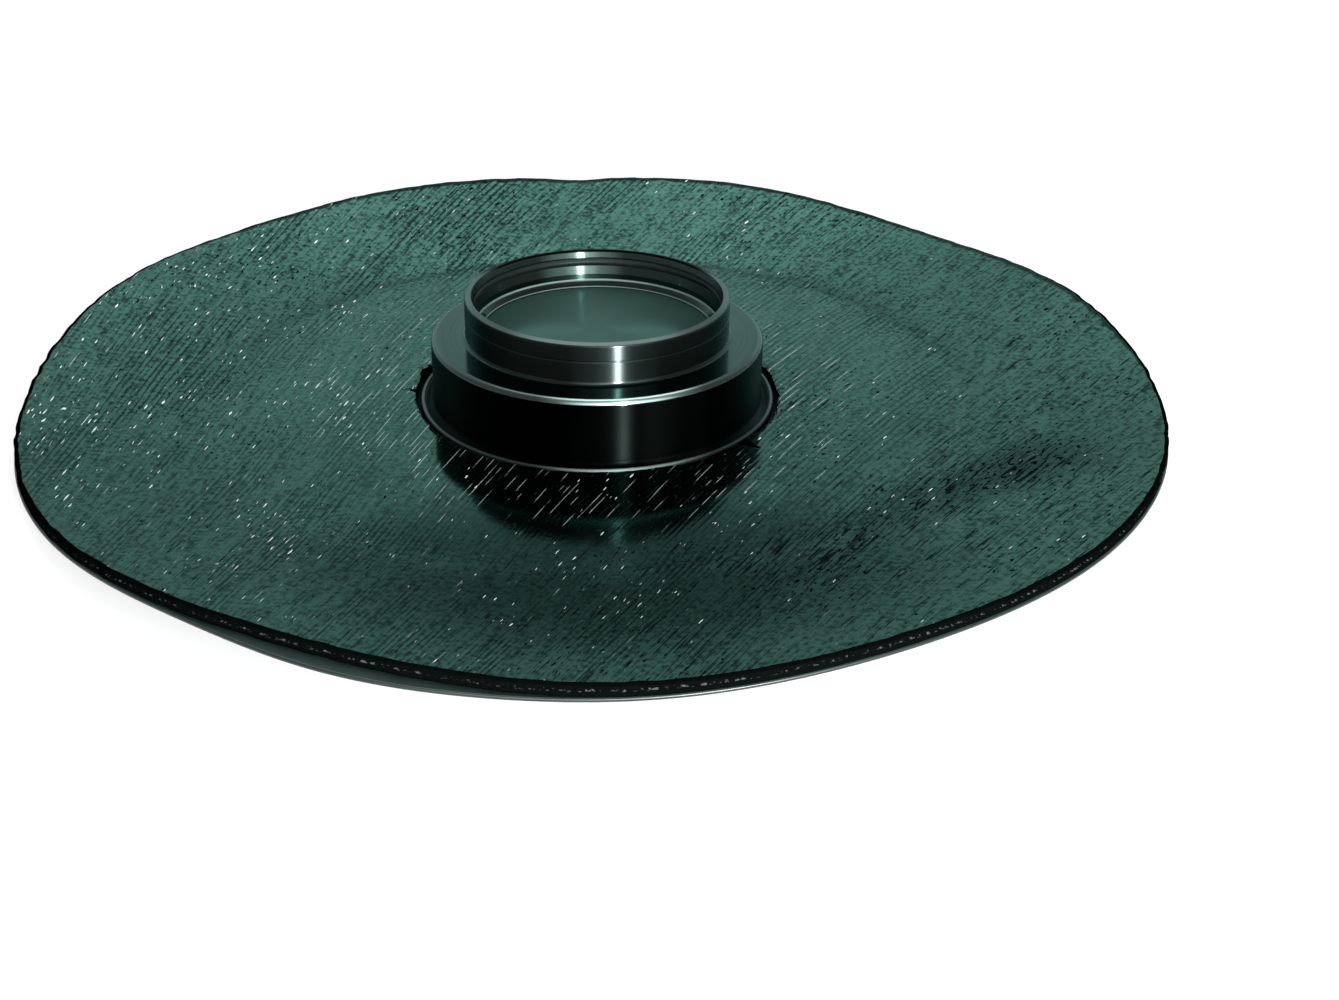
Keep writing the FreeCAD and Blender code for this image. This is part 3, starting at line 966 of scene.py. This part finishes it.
def bitumen_skin(finish, collar):
    """The sheet's skin: near-black glossy bitumen that mirrors its surroundings in green.

    It is grained in a fan of lines and mottled, with painted glints along the lines and dull pits painted
    dark as painted shade. Painted shade darkens it in a broad round patch at the front, a little over the
    whole front but for the corner at the right, and in the band at the right front; it is dark along the cut
    edge, where the dark rim is widest at the back.
    """
    material, tree, shader = new_material("bitumen_skin")
    place = object_place(tree)
    x, y = axes_of(tree, place)[:2]
    from_origin = Field(tree, node(tree, "VectorMath", {0: place}, operation="LENGTH").outputs["Value"])
    grain = placed(tree, fan_grain_group(collar.flange_radius), {
        "Place": place, "Spacing": GRAIN_SPACING, "Length": GRAIN_LENGTH})
    ragged = noise(tree, place, 160.0, 2.0)

    # Painted shade: a broad round patch at the front, a lighter darkening over the whole front but for the
    # corner at the right, and the band at the right front
    aside = (x - FRONT_SHADE[0]) / FRONT_SHADE_REACH[0]
    ahead = (y - FRONT_SHADE[1]) / FRONT_SHADE_REACH[1]
    front_shade = (aside * aside + ahead * ahead).stepped(1.0, 0.05)
    right_corner = x.stepped(0.09, 0.14) * y.stepped(-0.06, -0.12)
    front_half_shade = y.stepped(0.0, -0.10) * faded(right_corner, 0.24, 0.04)
    # The band of painted shade at the right front, broken up by noise
    shade_band = grain["Fold"] * (0.45 + ragged * 0.70)
    darker = (front_shade * 0.90).larger(front_half_shade.larger(shade_band))

    inward = axes_of(tree, surface_place(tree))[1] - 1.0
    front_width = faded(x.stepped(-0.02, 0.08), 2.0 * MM, 1.0 * MM)
    rim_width = faded((y + x * 0.35).stepped(0.02, 0.18), front_width, 5.2 * MM)
    rim = (inward / (rim_width * (0.5 + ragged))).stepped(1.0, 0.6)

    shade = blended(grain["Tone"], paint(finish.bitumen, 0.15), paint(finish.bitumen, 1.6))
    # In turn: the painted shade, the dark rim, the pits' painted shade and the painted glints
    for mask, tint in ((darker, paint(finish.bitumen, 0.1)), (rim * 0.95, paint(finish.cut_edge)),
                       (grain["Pit"], paint(finish.cut_edge)), (grain["Fleck"], paint(finish.glint))):
        shade = blended(mask, shade, tint)
    dull = grain["Fleck"].larger(grain["Pit"])
    skin_roughness = faded(from_origin.stepped(0.163, 0.190), 0.10, 0.34)
    # Less metal in the front patch darkens it further, as painted shade
    skirt_metal = faded(front_shade, 0.60, 0.25)
    least_metal = faded(from_origin.stepped(0.135, 0.165), 0.97, skirt_metal)
    set_up(tree, shader, {
        "Base Color": shade,
        "Metallic": faded(grain["Tone"], least_metal, 1.0) * (1.0 - dull),
        "Roughness": faded(dull, skin_roughness, 0.60),
        "Normal": bumped(tree, grain["Height"], 0.3 * MM, 1.0),
        "Specular IOR Level": 0.0,
        "Specular Tint": paint(finish.bitumen_edge),
    })
    return material


def bitumen_cut(finish):
    """The cut edge: black torn bitumen with a dotted line of carrier fibre ends half way up."""
    material, tree, shader = new_material("bitumen_cut")
    turn, height = axes_of(tree, surface_place(tree))[:2]
    half_way_up = 1.0 - abs(height - 0.5).stepped(0.06, 0.15)
    fibre_ends = flat_noise(tree, turn * 900.0, height * 7.0, 2.0).stepped(0.55, 0.73)
    tear = noise(tree, object_place(tree), 500.0, 4.0)
    set_up(tree, shader, {
        "Base Color": blended(half_way_up * fibre_ends, paint(finish.cut_edge), paint(finish.carrier)),
        "Roughness": 0.75,
        "Normal": bumped(tree, tear, 0.4 * MM, 1.0),
        "Specular IOR Level": 0.0,
    })
    return material


def backing_felt(finish):
    """The smooth thin backing, with a faint cloudiness, and painted shade on its edge."""
    material, tree, shader = new_material("backing_felt")
    felt = placed(tree, cloudy_gloss_group(), {"Place": object_place(tree), "Scale": 90.0, "Detail": 4.0,
                                               "Least": 0.32, "Most": 0.48})
    # Painted shade: the side of the backing's cut edge is painted near black
    from_edge = abs(axes_of(tree, surface_place(tree))[1] - 0.5)
    shade = blended(felt["Cloud"], paint(finish.backing, 0.7), paint(finish.backing))
    set_up(tree, shader, {
        "Base Color": blended(from_edge.stepped(0.016, 0.011), shade, paint(finish.backing, 0.15)),
        "Roughness": felt["Roughness"],
        "Normal": bumped(tree, felt["Cloud"], 0.3 * MM, 0.5),
        "Specular IOR Level": 0.35,
    })
    return material


def floor_material(finish, studio):
    """A pale matt floor that shows the camera and the gloss a white of its own, and keeps the shadow."""
    material, tree, shader = new_material("studio_floor")
    path = node(tree, "LightPath")
    camera, gloss, glass = (Field(tree, path.outputs["Is %s Ray" % kind])
                            for kind in ("Camera", "Glossy", "Transmission"))
    glow = node(tree, "Emission", {"Strength": camera.larger(gloss.larger(glass)) * studio.floor_glow})
    set_up(tree, shader, {"Base Color": paint(finish.floor), "Roughness": 1.0, "Specular IOR Level": 0.0})
    both = node(tree, "AddShader", {0: shader.outputs[0], 1: glow.outputs[0]})
    tree.links.new(both.outputs[0], tree.get_output_node("ALL").inputs["Surface"])
    return material


# Operators

class SLEEVE_OT_collar(bpy.types.Operator):
    """Turns the moulded collar: flange, foot, stepped body, closed floor and socket ring"""

    bl_idname = "sleeve.collar"
    bl_label = "Collar"

    def execute(self, context):
        size = context.scene.sleeve_collar
        well = size.body_radius - size.body_wall
        floor_edge = size.bore_radius - size.floor_bevel
        rim_outer = size.flange_radius + size.flange_taper
        line_top = size.rim_top - size.line_drop
        bead_top = size.foot_top + size.bead_rise
        corners = [
            (FIRST_RING, size.floor_top, 0),
            (floor_edge, size.floor_top, 0.6 * MM),
            (size.bore_radius, size.floor_top + size.floor_bevel, 0.5 * MM),
            (size.bore_radius, size.guide_top, 0.5 * MM),
            (size.mouth_radius + 0.6 * MM, size.groove_under, 0.2 * MM),
            (size.groove_radius, size.groove_under, 0.15 * MM),
            (size.groove_radius, size.groove_top, 0.15 * MM),
            (size.bore_radius, size.groove_top, 0.15 * MM),
            (size.bore_radius, size.land_top, 0.4 * MM),
            (size.mouth_radius + 0.2 * MM, size.mouth_end + 0.4 * MM, 0.4 * MM),
            (size.mouth_radius + 0.4 * MM, size.rim_top, 0.3 * MM),
            (size.ring_radius, size.rim_top - size.rim_slope, 0.7 * MM),
            (size.ring_radius, line_top, 0.12 * MM),
            (size.ring_radius - size.line_depth, line_top - 0.5 * size.line_width, 0.12 * MM),
            (size.ring_radius, line_top - size.line_width, 0.12 * MM),
            (size.ring_radius, size.shoulder_top, 1.7 * MM),
            (size.body_radius, size.shoulder_top, 2.6 * MM),
            (size.body_radius, size.foot_top + 1.2 * MM, 1.5 * MM),
            (size.foot_radius - 2.2 * MM, size.foot_top - 0.6 * MM, 0.5 * MM),
            (size.foot_radius - 1.5 * MM, bead_top, 0.4 * MM),
            (size.foot_radius, bead_top, 0.9 * MM),
            (size.foot_radius, size.flange_top, 0.3 * MM),
            (size.flange_radius, size.flange_top, 1.0 * MM),
            (rim_outer, size.flange_under + 0.8 * MM, 0.2 * MM),
            (rim_outer, size.flange_under, 0.2 * MM),
            (well, size.flange_under, 0.8 * MM),
            (well, size.plate_under, 1.5 * MM),
            (floor_edge, size.plate_under, 0.6 * MM),
            (floor_edge, size.web_under, 0.6 * MM),
            (FIRST_RING, size.web_under, 0),
        ]
        line = divided(rounded_section(corners), 12 * MM)
        points, uv = turned_points(line, TURN_POINTS)
        poles = ((0, 0, size.floor_top), (0, 0, size.web_under))
        mesh = grid_mesh("collar_moulding", points, uv, False, *poles)
        place_piece(mesh, [collar_plastic(context.scene.sleeve_finish, size)], "collar")
        return {"FINISHED"}


class SLEEVE_OT_seal_ring(bpy.types.Operator):
    """Turns the seal ring with its lip, in the socket's groove"""

    bl_idname = "sleeve.seal_ring"
    bl_label = "Seal ring"

    def execute(self, context):
        size = context.scene.sleeve_collar
        back = size.groove_radius - 0.02 * MM
        inner = size.groove_radius - size.seal_body
        low = size.groove_under + size.seal_gap
        high = size.groove_top - size.seal_gap
        lip = size.bore_radius + size.lip_gap
        lip_low = size.groove_under + size.lip_under
        corners = [
            (back, 0.5 * (low + high), 0),
            (back, low, 0.3 * MM),
            (inner, low, 0.4 * MM),
            (lip, lip_low, 0.2 * MM),
            (lip, lip_low + size.lip_height, 0.2 * MM),
            (inner, high, 0.4 * MM),
            (back, high, 0.3 * MM),
        ]
        line = divided(rounded_section(corners), 1 * MM)
        points, uv = turned_points(line, TURN_POINTS // 2)
        mesh = grid_mesh("seal_lip_ring", points, uv, True)
        place_piece(mesh, [seal_rubber(context.scene.sleeve_finish)], "seal_ring")
        return {"FINISHED"}


class SLEEVE_OT_upper_sheet(bpy.types.Operator):
    """Lays the bitumen sheet over the collar's flange"""

    bl_idname = "sleeve.upper_sheet"
    bl_label = "Bitumen sheet"

    def execute(self, context):
        scene = context.scene
        points, uv, skin = upper_sheet_points(scene.sleeve_sheets, scene.sleeve_collar)
        mesh = grid_mesh("bitumen_sheet", points, uv, True, section_materials=skin)
        materials = [bitumen_skin(scene.sleeve_finish, scene.sleeve_collar), bitumen_cut(scene.sleeve_finish)]
        place_piece(mesh, materials, "upper_sheet")
        return {"FINISHED"}


class SLEEVE_OT_backing_sheet(bpy.types.Operator):
    """Lays the thin backing under the collar's flange"""

    bl_idname = "sleeve.backing_sheet"
    bl_label = "Backing sheet"

    def execute(self, context):
        scene = context.scene
        points, uv = backing_points(scene.sleeve_sheets, scene.sleeve_collar)
        mesh = grid_mesh("backing_layer", points, uv, True)
        place_piece(mesh, [backing_felt(scene.sleeve_finish)], "backing_sheet")
        return {"FINISHED"}


def add_lamp(name, place, target, width, height, power):
    """A rectangular lamp that faces a point."""
    data = bpy.data.lights.new(name, "AREA")
    data.shape = "RECTANGLE"
    data.size = width
    data.size_y = height
    data.energy = power
    lamp = bpy.data.objects.new(name, data)
    lamp.location = place
    lamp.rotation_euler = (Vector(target) - Vector(place)).to_track_quat("-Z", "Y").to_euler()
    lamp.visible_camera = False
    bpy.context.scene.collection.objects.link(lamp)


def studio_world(studio):
    """Surroundings: dim all round, a paler wall behind with a dark gap above it, and two soft boxes.

    One soft box stands above and behind. The other stands in front to the right, and has a bright core.
    """
    world = bpy.data.worlds.new("studio")
    world.use_nodes = True
    tree = world.node_tree
    tree.nodes.clear()
    toward_sky = node(tree, "TexCoord").outputs["Generated"]
    right, back, up = axes_of(tree, toward_sky)
    behind = (back / distance(right, back).larger(0.001)).stepped(0.30, 0.85)
    wall = behind * (0.15 + up.stepped(0.10, 0.38) * 0.85)
    gap = 0.20 + right.stepped(-0.20, 0.0) * 0.65 - right.stepped(0.10, 0.30) * 0.25
    gap = gap * behind * up.stepped(0.40, 0.51) * up.stepped(0.63, 0.55)

    def soft_box(toward, outer, inner):
        """A round patch of sky: the cosines of the angles at its edge and where it is full."""
        across = node(tree, "VectorMath", {0: toward_sky, 1: toward}, operation="DOT_PRODUCT")
        return Field(tree, across.outputs["Value"]).stepped(outer, inner)

    level = (0.5 + up.stepped(0.02, 0.20) * 0.5) * studio.sky_around
    for mask, change in ((wall, studio.sky_back - studio.sky_around),
                         (gap, -studio.sky_gap),
                         (soft_box((0.0, 0.42, 0.906), 0.893, 0.962), studio.sky_top),
                         (soft_box((0.25, -0.879, 0.407), 0.75, 0.985), studio.sky_front),
                         (soft_box((0.230, -0.923, 0.309), 0.956, 0.990), 2 * studio.sky_front)):
        level = level + mask * change
    background = node(tree, "Background", {"Strength": level})
    node(tree, "OutputWorld", {"Surface": background.outputs[0]})
    bpy.context.scene.world = world


class SLEEVE_OT_stage(bpy.types.Operator):
    """Sets the floor, the light and the camera"""

    bl_idname = "sleeve.stage"
    bl_label = "Studio"

    def execute(self, context):
        scene = context.scene
        studio = scene.sleeve_studio
        angle = turn_angles(FLOOR_POINTS)[None, :]
        radius = np.geomspace(FLOOR_START, FLOOR_REACH, FLOOR_RINGS)[:, None]
        far = np.clip((radius - FLOOR_FLAT) / (FLOOR_REACH - FLOOR_FLAT), 0, 1)
        level = FLOOR_RISE * far ** 2 - FLOOR_GAP
        points = np.stack(np.broadcast_arrays(radius * np.cos(angle), radius * np.sin(angle), level), axis=-1)
        uv = np.zeros((FLOOR_RINGS, FLOOR_POINTS + 1, 2))
        floor_mesh = grid_mesh("studio_floor", points, uv, False, (0, 0, -FLOOR_GAP))
        floor_mesh.materials.append(floor_material(scene.sleeve_finish, studio))
        floor = bpy.data.objects.new("studio_floor", floor_mesh)
        scene.collection.objects.link(floor)
        studio_world(studio)
        add_lamp("front_strip", KEY_PLACE, KEY_TARGET, KEY_WIDTH, KEY_HEIGHT, studio.key_power)

        data = bpy.data.cameras.new("camera")
        data.sensor_fit = "HORIZONTAL"
        data.sensor_width = 36
        data.lens = studio.lens
        data.clip_start = 0.01
        camera = bpy.data.objects.new("camera", data)
        pan, tilt, roll = studio.camera_pan, studio.camera_tilt, studio.camera_roll
        forward = Vector((math.sin(pan) * math.cos(tilt), math.cos(pan) * math.cos(tilt), -math.sin(tilt)))
        level_right = Vector((math.cos(pan), -math.sin(pan), 0))
        level_down = forward.cross(level_right)
        right = math.cos(roll) * level_right + math.sin(roll) * level_down
        down = math.cos(roll) * level_down - math.sin(roll) * level_right
        turn = Matrix((right, -down, -forward)).transposed().to_4x4()
        camera.matrix_world = Matrix.Translation(studio.camera_place) @ turn
        scene.collection.objects.link(camera)
        scene.camera = camera
        scene.view_settings.view_transform = "Standard"
        return {"FINISHED"}


class SLEEVE_PT_panel(bpy.types.Panel):
    """Lists the pieces of the sleeve"""

    bl_idname = "SLEEVE_PT_panel"
    bl_label = "Roof pipe sleeve"
    bl_space_type = "VIEW_3D"
    bl_region_type = "UI"
    bl_category = "Sleeve"

    def draw(self, context):
        for operator in OPERATORS:
            self.layout.operator(operator.bl_idname)


GROUPS = {
    "sleeve_collar": SleeveCollarSizes,
    "sleeve_sheets": SleeveSheetSizes,
    "sleeve_finish": SleeveFinish,
    "sleeve_studio": SleeveStudio,
}
OPERATORS = (SLEEVE_OT_collar, SLEEVE_OT_seal_ring, SLEEVE_OT_upper_sheet, SLEEVE_OT_backing_sheet,
             SLEEVE_OT_stage)


def register():
    for kind in (*GROUPS.values(), *OPERATORS, SLEEVE_PT_panel):
        bpy.utils.register_class(kind)
    for name, group in GROUPS.items():
        setattr(bpy.types.Scene, name, PointerProperty(type=group))


def unregister():
    for name in GROUPS:
        delattr(bpy.types.Scene, name)
    for kind in reversed((*GROUPS.values(), *OPERATORS, SLEEVE_PT_panel)):
        bpy.utils.unregister_class(kind)


def main():
    """Builds every piece and the stage."""
    register()
    bpy.ops.sleeve.collar()
    bpy.ops.sleeve.seal_ring()
    bpy.ops.sleeve.upper_sheet()
    bpy.ops.sleeve.backing_sheet()
    bpy.ops.sleeve.stage()


if __name__ == "__main__":
    main()
